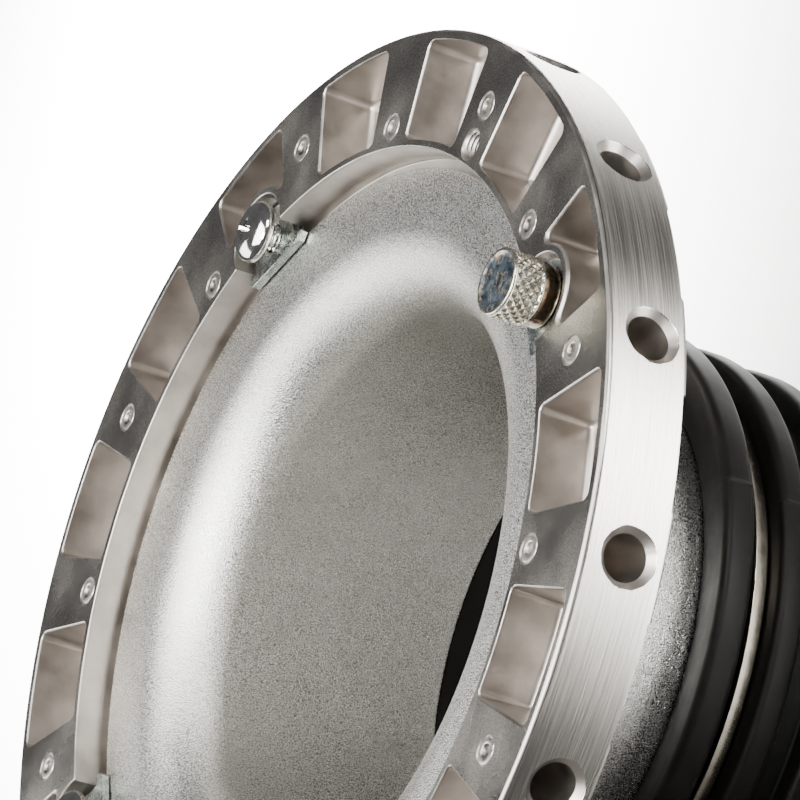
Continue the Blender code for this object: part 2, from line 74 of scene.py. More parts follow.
def polar(r, a, z=0.0):
    return Vector((r * math.cos(a), r * math.sin(a), z))


def meshObject(name, bm, smoothAngle=35):
    bmesh.ops.recalc_face_normals(bm, faces=bm.faces)
    mesh = bpy.data.meshes.new(name)
    bm.to_mesh(mesh)
    bm.free()
    mesh.shade_smooth()
    mesh.set_sharp_from_angle(angle=math.radians(smoothAngle))
    ob = bpy.data.objects.new(name, mesh)
    bpy.context.collection.objects.link(ob)
    return ob


def stackLoops(bm, loops, capStart=True, capEnd=True, ring=False):
    rows = [[bm.verts.new(p) for p in loop] for loop in loops]
    n = len(rows[0])
    pairs = list(zip(rows, rows[1:]))
    if ring:
        pairs.append((rows[-1], rows[0]))
    for low, high in pairs:
        for i in range(n):
            j = (i + 1) % n
            bm.faces.new((low[i], low[j], high[j], high[i]))
    if not ring:
        for row, wanted in ((rows[0], capStart), (rows[-1], capEnd)):
            if wanted:
                bm.faces.new(row)
    return rows


def turnedLoops(profile, segments, shape=None):
    loops = []
    for r, z in profile:
        loop = []
        for i in range(segments):
            a = 2 * math.pi * i / segments
            rr, zz = shape(r, z, a) if shape else (r, z)
            loop.append(polar(rr, a, zz))
        loops.append(loop)
    return loops


def turned(name, profile, segments, ring=False, shape=None, smoothAngle=35):
    bm = bmesh.new()
    stackLoops(bm, turnedLoops(profile, segments, shape), ring=ring)
    return meshObject(name, bm, smoothAngle)


def roundedProfile(points, steps=4):
    out = []                              # (r, z, corner radius) points, corners turned into arcs
    n = len(points)
    for i, (r, z, fillet) in enumerate(points):
        p = Vector((r, z))
        if fillet <= 0:
            out.append((r, z))
            continue
        a = Vector(points[i - 1][:2]) - p
        b = Vector(points[(i + 1) % n][:2]) - p
        half = a.angle(b) / 2
        reach = min(fillet / math.tan(half), 0.49 * a.length, 0.49 * b.length)
        fillet = reach * math.tan(half)
        start = p + a.normalized() * reach
        end = p + b.normalized() * reach
        centre = p + (a.normalized() + b.normalized()).normalized() * fillet / math.sin(half)
        s, e = start - centre, end - centre
        sweep = math.atan2(s.x * e.y - s.y * e.x, s.dot(e))
        for k in range(steps + 1):
            t = sweep * k / steps
            c, d = math.cos(t), math.sin(t)
            out.append((centre.x + s.x * c - s.y * d, centre.y + s.x * d + s.y * c))
    return out


def arcPoints(centre, r, a0, a1, steps):
    return [(centre[0] + r * math.cos(a0 + (a1 - a0) * k / steps),
             centre[1] + r * math.sin(a0 + (a1 - a0) * k / steps)) for k in range(steps + 1)]


def between(p, q, parts):
    return [(p[0] + (q[0] - p[0]) * k / parts, p[1] + (q[1] - p[1]) * k / parts) for k in range(1, parts)]


def subtract(ob, cutters):
    for cutter in cutters:
        mod = ob.modifiers.new(cutter.name, "BOOLEAN")
        mod.operation = "DIFFERENCE"
        mod.solver = "EXACT"
        mod.object = cutter
    bakeModifiers(ob)
    for cutter in cutters:
        bpy.data.objects.remove(cutter)


def bakeModifiers(ob):
    bpy.context.view_layer.update()
    graph = bpy.context.evaluated_depsgraph_get()
    mesh = bpy.data.meshes.new_from_object(ob.evaluated_get(graph))
    ob.modifiers.clear()
    ob.data = mesh
    mesh.name = ob.name


def facetNormals(ob, smoothAngle=35):
    ob.data.shade_smooth()
    ob.data.set_sharp_from_angle(angle=math.radians(smoothAngle))
    mod = ob.modifiers.new("weighted", "WEIGHTED_NORMAL")
    mod.keep_sharp = True
    mod.weight = 80
    bakeModifiers(ob)


def joinInto(name, parts):
    bm = bmesh.new()
    for part in parts:
        part.data.transform(part.matrix_world)
        bm.from_mesh(part.data)
        bpy.data.objects.remove(part)
    mesh = bpy.data.meshes.new(name)
    bm.to_mesh(mesh)
    bm.free()
    ob = bpy.data.objects.new(name, mesh)
    bpy.context.collection.objects.link(ob)
    return ob


def place(ob, matrix):
    ob.data.transform(matrix)
    return ob


def settle(ob, body, material, slot, *nodes):
    ob.data.materials.clear()
    ob.data.materials.append(material)
    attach(ob, body)
    if nodes:
        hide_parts(*nodes)
    return ob


def newMaterial(name):
    mat = bpy.data.materials.new(name)
    mat.use_nodes = True
    tree = mat.node_tree
    return mat, tree, tree.nodes["Principled BSDF"]


def feed(tree, socket, value):
    if isinstance(value, bpy.types.NodeSocket):
        tree.links.new(value, socket)
    elif value is not None:
        socket.default_value = value


def maths(tree, op, a, b=None):
    n = tree.nodes.new("ShaderNodeMath")
    n.operation = op
    feed(tree, n.inputs[0], a)
    feed(tree, n.inputs[1], b)
    return n.outputs[0]


def times(tree, a, b):
    return maths(tree, "MULTIPLY", a, b)


def plus(tree, a, b):
    return maths(tree, "ADD", a, b)


def objectCoords(tree):
    return tree.nodes.new("ShaderNodeTexCoord").outputs["Object"]


def splitXYZ(tree, vector):
    n = tree.nodes.new("ShaderNodeSeparateXYZ")
    feed(tree, n.inputs[0], vector)
    return n.outputs


def fromAxis(tree, coords):
    x, y, z = splitXYZ(tree, coords)      # distance from the ring's axis, and height
    return maths(tree, "SQRT", plus(tree, times(tree, x, x), times(tree, y, y))), z


def stretched(tree, coords, scale):
    n = tree.nodes.new("ShaderNodeMapping")
    n.inputs["Scale"].default_value = scale
    feed(tree, n.inputs["Vector"], coords)
    return n.outputs[0]


def rotated(tree, coords, angles, scale):
    n = tree.nodes.new("ShaderNodeMapping")
    n.inputs["Rotation"].default_value = angles
    n.inputs["Scale"].default_value = scale
    feed(tree, n.inputs["Vector"], coords)
    return n.outputs[0]


def noiseTex(tree, coords, scale, detail=2.0, rough=0.5):
    n = tree.nodes.new("ShaderNodeTexNoise")
    n.inputs["Scale"].default_value = scale
    n.inputs["Detail"].default_value = detail
    n.inputs["Roughness"].default_value = rough
    feed(tree, n.inputs["Vector"], coords)
    return n.outputs["Fac"]


def cells(tree, coords, scale):
    n = tree.nodes.new("ShaderNodeTexVoronoi")
    n.feature = "F1"
    n.inputs["Scale"].default_value = scale
    feed(tree, n.inputs["Vector"], coords)
    return n.outputs["Distance"]


def span(tree, value, a, b, c=0.0, d=1.0):
    n = tree.nodes.new("ShaderNodeMapRange")
    n.clamp = True
    feed(tree, n.inputs["Value"], value)
    n.inputs["From Min"].default_value = a
    n.inputs["From Max"].default_value = b
    n.inputs["To Min"].default_value = c
    n.inputs["To Max"].default_value = d
    return n.outputs["Result"]


def blendColor(tree, factor, a, b):
    n = tree.nodes.new("ShaderNodeMix")
    n.data_type = "RGBA"
    feed(tree, n.inputs["Factor"], factor)
    for socket, value in ((n.inputs["A"], a), (n.inputs["B"], b)):
        feed(tree, socket, (*value, 1.0) if isinstance(value, tuple) else value)
    return n.outputs["Result"]


def patchy(tree, field, low, high, color, share):
    dim = tuple(c * share for c in color)
    return blendColor(tree, span(tree, field, low, high), dim, color)


def blendValue(tree, factor, a, b):
    n = tree.nodes.new("ShaderNodeMix")
    n.data_type = "FLOAT"
    feed(tree, n.inputs["Factor"], factor)
    feed(tree, n.inputs["A"], a)
    feed(tree, n.inputs["B"], b)
    return n.outputs["Result"]


def bumpMap(tree, height, strength, distance, normal=None):
    n = tree.nodes.new("ShaderNodeBump")
    n.inputs["Strength"].default_value = strength
    n.inputs["Distance"].default_value = distance
    feed(tree, n.inputs["Height"], height)
    if normal is not None:
        feed(tree, n.inputs["Normal"], normal)
    return n.outputs["Normal"]


def scratchField(tree, coords, scale, seeds):
    total = None                          # thin random scratches: noise squeezed along a few directions
    for k in range(seeds):
        turn = rotated(tree, coords, (0.0, 0.0, 0.9 + 1.3 * k), (scale, scale * 0.03, scale * 0.03))
        lines = span(tree, noiseTex(tree, turn, 1.0, 0.0), 0.70, 0.73)
        total = lines if total is None else maths(tree, "MAXIMUM", total, lines)
    return total


view = {
    "eye": (0.90167, -0.16663, 0.54616),
    "right": (0.48542, 0.21132, -0.84836),
    "up": (0.07048, 0.95774, 0.27889),
    "lens": 262.0,
}


def makeCamera():
    data = bpy.data.cameras.new("camera")
    data.lens = view["lens"]
    data.sensor_width = 36.0
    data.clip_start = 0.05
    data.clip_end = 20.0
    cam = bpy.data.objects.new("camera", data)
    bpy.context.collection.objects.link(cam)
    right = Vector(view["right"]).normalized()
    up = Vector(view["up"]).normalized()
    back = right.cross(up)
    turn = Matrix((right, up, back)).transposed().to_4x4()
    cam.matrix_world = Matrix.Translation(view["eye"]) @ turn
    bpy.context.scene.camera = cam


studio = {
    "floorColor": (0.86, 0.86, 0.85),
    "worldColor": (0.12, 0.12, 0.125),
    "aim": (0.0, 0.0, 0.08),              # the panels look at the insert's middle
    "panels": {                           # soft boxes over the ring, seen as soft shapes in the metal
        "topPanel": {"place": (0.16, -0.06, 1.02), "size": (0.9, 0.9), "power": 27.0},
        "leadPanel": {"place": (0.66, -0.18, 0.98), "size": (0.42, 0.42), "power": 13.0},
        "frontPanel": {"place": (0.80, 0.62, 0.62), "size": (0.40, 0.44), "power": 8.0},
        "backPanel": {"place": (-0.92, -0.46, 0.76), "size": (0.95, 0.62), "power": 11.0},
        "lowPanel": {
            "place": (0.75, 0.16, 0.10),
            "aim": (0.0, 0.0, 0.065),
            "size": (0.14, 0.12),
            "power": 11.0,
            "on": "coneInsert",           # this one lights the insert's neck alone
        },
    },
    "pools": {                            # soft pools of light on the paper, behind the ring and before it
        "backPool": {
            "place": (-0.45, 0.95, 1.05),
            "aim": (-0.24, 0.15, 0.0),
            "radius": 0.10,
            "cone": 20.5,
            "power": 2100.0,
        },
        "frontPool": {
            "place": (0.70, 0.80, 0.95),
            "aim": (0.235, 0.10, 0.0),
            "radius": 0.05,
            "cone": 9.0,
            "power": 1500.0,
        },
        "neckPool": {
            "place": (0.70, 0.80, 0.95),
            "aim": (0.180, 0.02, 0.0),
            "radius": 0.04,
            "cone": 5.0,
            "power": 600.0,
        },
    },
}


def hang(data, name, spec):
    data.energy = spec["power"]
    lamp = bpy.data.objects.new(name, data)
    bpy.context.collection.objects.link(lamp)
    lamp.location = spec["place"]
    beam = Vector(spec.get("aim", studio["aim"])) - Vector(spec["place"])
    lamp.rotation_euler = beam.to_track_quat("-Z", "Y").to_euler()
    return lamp


def hangPanel(name, spec):
    data = bpy.data.lights.new(name, "AREA")
    data.shape = "RECTANGLE"
    data.size, data.size_y = spec["size"]
    hang(data, name, spec)


def hangPool(name, spec, onlyOn):
    data = bpy.data.lights.new(name, "SPOT")
    data.spot_size = math.radians(spec["cone"])
    data.spot_blend = 0.8
    data.shadow_soft_size = spec["radius"]
    lamp = hang(data, name, spec)
    lamp.light_linking.receiver_collection = onlyOn


def makeStudio():
    bm = bmesh.new()
    bmesh.ops.create_grid(bm, x_segments=8, y_segments=8, size=3.0)
    floor = meshObject("floor", bm)
    mat, tree, shader = newMaterial("floorPaper")
    cloud = noiseTex(tree, objectCoords(tree), 6.0, 2.0)
    feed(tree, shader.inputs["Base Color"], patchy(tree, cloud, 0.3, 0.7, studio["floorColor"], 0.985))
    shader.inputs["Roughness"].default_value = 0.8
    floor.data.materials.append(mat)
    world = bpy.data.worlds.new("studio")
    world.use_nodes = True
    back = world.node_tree.nodes["Background"]
    back.inputs["Color"].default_value = (*studio["worldColor"], 1.0)
    back.inputs["Strength"].default_value = 1.0
    bpy.context.scene.world = world
    for name, spec in studio["panels"].items():
        hangPanel(name, spec)
    paper = bpy.data.collections.new("floorOnly")
    paper.objects.link(floor)
    for name, spec in studio["pools"].items():
        hangPool(name, spec, paper)


makeCamera()
makeStudio()
print("camera, floor and lights")


castLook = {
    "face": (0.60, 0.565, 0.51),
    "pocket": (0.52, 0.48, 0.44),
    "rim": (0.70, 0.665, 0.60),
    "faceRough": (0.18, 0.36),
    "pocketRough": (0.30, 0.46),
    "rimRough": (0.16, 0.34),
}


def castAluminium():
    mat, tree, shader = newMaterial("castAluminium")
    look = castLook
    coords = objectCoords(tree)
    radius, z = fromAxis(tree, coords)
    onFace = span(tree, z, frontZ - 0.06 * mm, frontZ - 0.02 * mm)
    onRim = span(tree, radius, outerR - 0.25 * mm, outerR - 0.12 * mm)
    brush = noiseTex(tree, stretched(tree, coords, (30, 30, 5200)), 1.0, 4.0, 0.7)      # lathe lines
    coarse = noiseTex(tree, stretched(tree, coords, (14, 14, 1500)), 1.0, 2.0)
    grain = noiseTex(tree, coords, 3200, 2.0, 0.6)
    pits = span(tree, noiseTex(tree, coords, 1500, 3.0, 0.7), 0.56, 0.70)
    blotch = noiseTex(tree, coords, 130, 4.0, 0.55)
    dents = span(tree, cells(tree, coords, 330), 0.0, 0.13, 1.0, 0.0)
    scratch = scratchField(tree, coords, 1100, 3)
    smear = noiseTex(tree, coords, 55, 3.0, 0.5)

    pocketColor = patchy(tree, blotch, 0.35, 0.68, look["pocket"], 0.72)
    faceColor = patchy(tree, grain, 0.36, 0.64, look["face"], 0.55)
    rimColor = patchy(tree, brush, 0.32, 0.68, look["rim"], 0.72)
    color = blendColor(tree, onRim, blendColor(tree, onFace, pocketColor, faceColor), rimColor)
    feed(tree, shader.inputs["Base Color"], color)
    shader.inputs["Metallic"].default_value = 1.0

    pocketRough = span(tree, blotch, 0.3, 0.7, *look["pocketRough"])
    faceRough = span(tree, smear, 0.32, 0.68, *look["faceRough"])
    rimRough = span(tree, brush, 0.35, 0.65, *look["rimRough"])
    rough = blendValue(tree, onRim, blendValue(tree, onFace, pocketRough, faceRough), rimRough)
    feed(tree, shader.inputs["Roughness"], rough)

    flaws = plus(tree, times(tree, pits, 0.25), times(tree, scratch, 0.5))
    faceWaves = plus(tree, times(tree, grain, 0.8), times(tree, smear, 4.0))
    faceHeight = maths(tree, "SUBTRACT", faceWaves, flaws)
    rimWaves = plus(tree, brush, times(tree, coarse, 0.8))
    rimHeight = maths(tree, "SUBTRACT", rimWaves, times(tree, dents, 0.6))
    pocketHeight = plus(tree, times(tree, blotch, 3.0), times(tree, grain, 0.25))
    height = blendValue(tree, onRim, blendValue(tree, onFace, pocketHeight, faceHeight), rimHeight)
    feed(tree, shader.inputs["Normal"], bumpMap(tree, height, 0.55, 0.05 * mm))
    return mat


blastLook = {
    # light: the colour of the painted glints on the grain tips, dark: the blasted metal between them
    "light": (1.0, 0.985, 0.94),
    "dark": (0.56, 0.545, 0.50),
    "rough": (0.19, 0.36),
    "grainSize": 0.22 * mm,
}


def blastedAluminium():
    mat, tree, shader = newMaterial("blastedAluminium")
    coords = objectCoords(tree)
    grain = noiseTex(tree, coords, 1.0 / blastLook["grainSize"], 1.0, 0.5)
    facets = cells(tree, coords, 0.8 / blastLook["grainSize"])
    cloud = noiseTex(tree, coords, 60, 3.0)
    spun = noiseTex(tree, stretched(tree, coords, (8, 8, 500)), 1.0, 2.0)
    # bright specks in the colour are painted glints on the blasted grains; the cloud adds a faint random tone
    paintedGlintsAndTone = plus(tree, span(tree, grain, 0.50, 0.68, 0.0, 0.9), span(tree, cloud, 0.3, 0.7, 0.0, 0.15))
    feed(tree, shader.inputs["Base Color"], blendColor(tree, paintedGlintsAndTone, blastLook["dark"], blastLook["light"]))
    shader.inputs["Metallic"].default_value = 1.0
    feed(tree, shader.inputs["Roughness"], span(tree, grain, 0.3, 0.7, *blastLook["rough"]))
    height = plus(tree, grain, times(tree, facets, 0.6))
    coarse = bumpMap(tree, spun, 0.12, 0.06 * mm)
    feed(tree, shader.inputs["Normal"], bumpMap(tree, height, 1.0, 0.085 * mm, coarse))
    return mat


rubberLook = {
    "black": (0.003, 0.0027, 0.0022),
    "dust": (0.010, 0.0092, 0.0075),
    "dustShare": 0.7,
    "dustFrom": (57.5 * mm, 59.0 * mm),   # dust lies on the ribs, not in the grooves
    "rough": (0.40, 0.58),
}


def blackRubber():
    mat, tree, shader = newMaterial("blackRubber")
    coords = objectCoords(tree)
    dust = noiseTex(tree, coords, 90, 5.0, 0.65)
    streak = noiseTex(tree, stretched(tree, coords, (60, 60, 700)), 1.0, 3.0)
    fine = noiseTex(tree, coords, 2400, 2.0)
    proud = span(tree, fromAxis(tree, coords)[0], *rubberLook["dustFrom"])
    film = times(tree, span(tree, dust, 0.35, 0.75), span(tree, streak, 0.25, 0.75, 0.5, 1.0))
    dusty = times(tree, times(tree, film, proud), rubberLook["dustShare"])
    color = blendColor(tree, dusty, rubberLook["black"], rubberLook["dust"])
    feed(tree, shader.inputs["Base Color"], color)
    feed(tree, shader.inputs["Roughness"], span(tree, dust, 0.3, 0.7, *rubberLook["rough"]))
    shader.inputs["Specular IOR Level"].default_value = 0.15
    height = plus(tree, fine, times(tree, streak, 1.2))
    feed(tree, shader.inputs["Normal"], bumpMap(tree, height, 0.25, 0.05 * mm))
    return mat


platedLooks = {                           # tint: the colour of stains, tintShare: how strong they are
    "markRim": {"light": (0.86, 0.82, 0.78), "dark": (0.66, 0.62, 0.58), "tint": (0.90, 0.88, 0.86),
                "rough": (0.26, 0.40), "grainScale": 2600, "tintShare": 0.4, "bump": 0.5},
    "markCore": {"light": (0.42, 0.38, 0.34), "dark": (0.14, 0.12, 0.10), "tint": (0.52, 0.48, 0.42),
                 "rough": (0.30, 0.50), "grainScale": 2200, "tintShare": 0.6, "bump": 0.9},
    "brightNickel": {"light": (0.86, 0.85, 0.82), "dark": (0.66, 0.65, 0.62), "tint": (0.62, 0.55, 0.40),
                     "rough": (0.05, 0.14), "grainScale": 2600, "tintShare": 0.25, "bump": 0.08},
    "knurledNickel": {"light": (0.84, 0.81, 0.70), "dark": (0.62, 0.58, 0.46), "tint": (0.66, 0.60, 0.46),
                      "rough": (0.18, 0.32), "grainScale": 3000, "tintShare": 0.3, "bump": 0.2},
    "mottledZinc": {"light": (0.30, 0.36, 0.41), "dark": (0.08, 0.12, 0.17), "tint": (0.74, 0.64, 0.48),
                    "rough": (0.24, 0.42), "grainScale": 1800, "tintShare": 1.0, "bump": 0.6},
    # the knob's neck: dark brown painted shade with a painted brownish reflection under the knob, not a
    # coating
    "brownVarnish": {"light": (0.24, 0.17, 0.12), "dark": (0.11, 0.07, 0.05), "tint": (0.30, 0.28, 0.20),
                     "rough": (0.10, 0.22), "grainScale": 1200, "tintShare": 0.5, "bump": 0.2},
    "blueZinc": {"light": (0.74, 0.80, 0.76), "dark": (0.50, 0.57, 0.55), "tint": (0.66, 0.66, 0.58),
                 "rough": (0.18, 0.34), "grainScale": 2200, "tintShare": 0.35, "bump": 0.2},
    "strapSteel": {"light": (0.50, 0.46, 0.38), "dark": (0.40, 0.36, 0.29), "tint": (0.30, 0.25, 0.18),
                   "rough": (0.16, 0.26), "grainScale": 2600, "tintShare": 0.2, "bump": 0.08},
    "springSteel": {"light": (0.34, 0.34, 0.35), "dark": (0.16, 0.16, 0.17), "tint": (0.30, 0.24, 0.18),
                    "rough": (0.22, 0.40), "grainScale": 2600, "tintShare": 0.3, "bump": 0.25},
    "zincSteel": {"light": (0.66, 0.67, 0.66), "dark": (0.42, 0.44, 0.45), "tint": (0.60, 0.56, 0.46),
                  "rough": (0.16, 0.32), "grainScale": 2400, "tintShare": 0.3, "bump": 0.25},
}


def platedSteel(name):
    look = platedLooks[name]
    mat, tree, shader = newMaterial(name)
    coords = objectCoords(tree)
    cloud = noiseTex(tree, coords, 420, 4.0, 0.6)
    spots = noiseTex(tree, coords, 700, 3.0, 0.7)
    grain = noiseTex(tree, coords, look["grainScale"], 2.0, 0.6)
    base = blendColor(tree, span(tree, cloud, 0.35, 0.65), look["dark"], look["light"])
    stain = times(tree, span(tree, spots, 0.53, 0.58), look["tintShare"])
    feed(tree, shader.inputs["Base Color"], blendColor(tree, stain, base, look["tint"]))
    shader.inputs["Metallic"].default_value = 1.0
    mixed = plus(tree, times(tree, cloud, 0.5), times(tree, grain, 0.5))
    feed(tree, shader.inputs["Roughness"], span(tree, mixed, 0.35, 0.65, *look["rough"]))
    feed(tree, shader.inputs["Normal"], bumpMap(tree, grain, look["bump"], 0.03 * mm))
    return mat


castMetal = castAluminium()
markMetal = platedSteel("markRim")
markCore = platedSteel("markCore")
blastMetal = blastedAluminium()
rubber = blackRubber()
nickel = platedSteel("brightNickel")
knurlPlate = platedSteel("knurledNickel")
knobFace = platedSteel("mottledZinc")
# painted shade and painted brownish reflection for the neck under the knob
knobNeck = platedSteel("brownVarnish")
zincPlate = platedSteel("blueZinc")
strapSteel = platedSteel("strapSteel")
darkSpring = platedSteel("springSteel")
zincSteel = platedSteel("zincSteel")
print("materials")


rodRing = {
    "segments": 320,
    "bore": 78.0 * mm,
    "ledgeDrop": 7.3 * mm,
    "rearBore": 70.0 * mm,
    "backDrop": 14.8 * mm,
    "padHeight": 1.0 * mm,
    "edge": 0.9 * mm,
    "boreEdge": 0.35 * mm,
    "pocketInner": 79.5 * mm,
    "pocketOuter": 97.85 * mm,
    "pocketHalf": math.radians(6.75),
    "pocketDepth": 10.3 * mm,
    "floorFillet": 1.3 * mm,
    "draft": 0.35 * mm,
    "lip": 0.55 * mm,                     # rounded edge where the side walls meet the face
    "endLip": 0.25 * mm,
    "bossLip": 0.85 * mm,
    "outerCorner": 1.6 * mm,
    "innerCorner": 1.3 * mm,
    "notch": 8.0 * mm,
    "notchWall": 1.75 * mm,
    "notchDrop": 5.6 * mm,
    "socket": 4.0 * mm,
    "socketDepth": 15.0 * mm,
    "socketDrop": 8.6 * mm,
    "mouth": 5.2 * mm,
    "spareAngle": math.radians(67.5),
    "spareR": 81.6 * mm,
    "spareDepth": 9.5 * mm,
    "markOuter": 88.8 * mm,               # pin marks on the webs, every other one near the bore
    "markInner": 82.06 * mm,
}


def filletArc(centre, start, end, steps):
    s, e = Vector(start) - Vector(centre), Vector(end) - Vector(centre)
    sweep = math.atan2(s.x * e.y - s.y * e.x, s.dot(e))
    out = []
    for k in range(steps + 1):
        c, d = math.cos(sweep * k / steps), math.sin(sweep * k / steps)
        out.append((centre[0] + s.x * c - s.y * d, centre[1] + s.x * d + s.y * c))
    return out


def pocketOutline(aroundBoss, side, end, bossExtra=0.0):
    s = rodRing                           # side and end: how far the walls step in from the mouth
    half = s["pocketHalf"]
    along = Vector((math.cos(half), math.sin(half)))
    inward = Vector((math.sin(half), -math.cos(half)))
    hub = Vector((notchR, 0.0)) if aroundBoss else Vector((0.0, 0.0))
    hubR = (s["notch"] + s["notchWall"] + bossExtra if aroundBoss else s["pocketInner"]) + end
    innerR = max(s["innerCorner"] - end, 0.35 * mm)
    rest = inward * (side + innerR) - hub
    t = -along.dot(rest) + math.sqrt(along.dot(rest) ** 2 - rest.dot(rest) + (hubR + innerR) ** 2)
    innerAt = along * t + inward * (side + innerR)
    innerTouch = hub + (innerAt - hub) * hubR / (hubR + innerR)
    innerWall = innerAt - inward * innerR
    endR = s["pocketOuter"] - end
    corner = max(s["outerCorner"] - end, 0.5 * mm)
    t = math.sqrt((endR - corner) ** 2 - (side + corner) ** 2)
    outerAt = along * t + inward * (side + corner)
    outerTouch = outerAt.normalized() * endR
    outerWall = outerAt - inward * corner
    toHub = innerTouch - hub
    chain = arcPoints(hub, hubR, 0.0, math.atan2(toHub.y, toHub.x), 14)
    chain += filletArc(innerAt, innerTouch, innerWall, 5)[1:]
    chain += filletArc(outerAt, outerWall, outerTouch, 6)
    chain += arcPoints((0, 0), endR, math.atan2(outerTouch.y, outerTouch.x), 0.0, 8)[1:]
    mirrored = [(x, -y) for x, y in reversed(chain[1:-1])]
    return chain + mirrored


def grown(outline, amount):
    out = []                              # the outline stepped outwards, for bevels on flat plates
    n = len(outline)
    for i in range(n):
        p = Vector(outline[i])
        a = (p - Vector(outline[i - 1])).normalized()
        b = (Vector(outline[(i + 1) % n]) - p).normalized()
        na, nb = Vector((a.y, -a.x)), Vector((b.y, -b.x))
        m = (na + nb).normalized()
        out.append(p + m * amount / max(0.6, m.dot(na)))
    return out


def pocketCutter(k):
    s = rodRing
    boss = k % 4 == 1
    depth, fillet = s["pocketDepth"], s["floorFillet"]
    loops = []
    for t in range(6):
        a = math.pi / 2 * t / 5
        inset = s["draft"] + fillet * (1 - math.sin(a))
        loops.append((pocketOutline(boss, inset, inset), -depth + fillet * (1 - math.cos(a))))
    for t in range(6):
        a = math.pi / 2 * t / 5
        share = 1 - math.cos(a)
        wall, edge = s["lip"] * share, s["endLip"] * share
        extra = (s["endLip"] - s["bossLip"]) * share
        loops.append((pocketOutline(boss, -wall, -edge, extra), -s["lip"] * (1 - math.sin(a)) + 0.02 * mm))
    loops.append((pocketOutline(boss, -s["lip"] * 2.2, -s["endLip"] * 2.2, extra * 1.5), 0.4 * mm))
    turn = Matrix.Rotation((k + 0.5) * step, 4, "Z")
    bm = bmesh.new()
    stackLoops(bm, [[turn @ Vector((p[0], p[1], frontZ + z)) for p in loop] for loop, z in loops])
    return meshObject("pocketCut", bm)


def socketCutter(k):
    s = rodRing
    random.seed(40 + k)
    seed = Vector((random.random() * 90, 0, 0))
    bottom = outerR - s["socketDepth"]
    flare = s["mouth"] - s["socket"]
    profile = [(0.02 * mm, bottom - 1.2 * mm), (s["socket"] * 0.97, bottom),
               (s["socket"], bottom + 0.3 * mm), (s["socket"], outerR - flare * 1.25),
               (s["socket"] * 1.02, outerR - flare * 1.1), (s["mouth"] - 0.1 * mm, outerR - 0.35 * mm),
               (s["mouth"] + 1.2 * mm, outerR + 1.6 * mm)]

    def ragged(r, z, a):
        edge = max(0.0, (z - (outerR - flare * 1.3)) / flare)
        wobble = noiseAt(Vector((math.cos(a) * 2.2, math.sin(a) * 2.2, 0)) + seed)
        nick = max(0.0, noiseAt(Vector((math.cos(a) * 7, math.sin(a) * 7, 4)) + seed) - 0.2)
        return r + min(edge, 1.3) * (0.16 * wobble + 0.30 * nick) * mm, z

    ob = turned("socketCut", profile, 56, shape=ragged)
    lie = Matrix.Rotation(math.pi / 2, 4, "Y")
    level = Matrix.Translation((0, 0, frontZ - s["socketDrop"]))
    return place(ob, level @ Matrix.Rotation(k * step, 4, "Z") @ lie)


def markSpot(k):
    return polar(rodRing["markOuter"] if k % 2 else rodRing["markInner"], k * step)


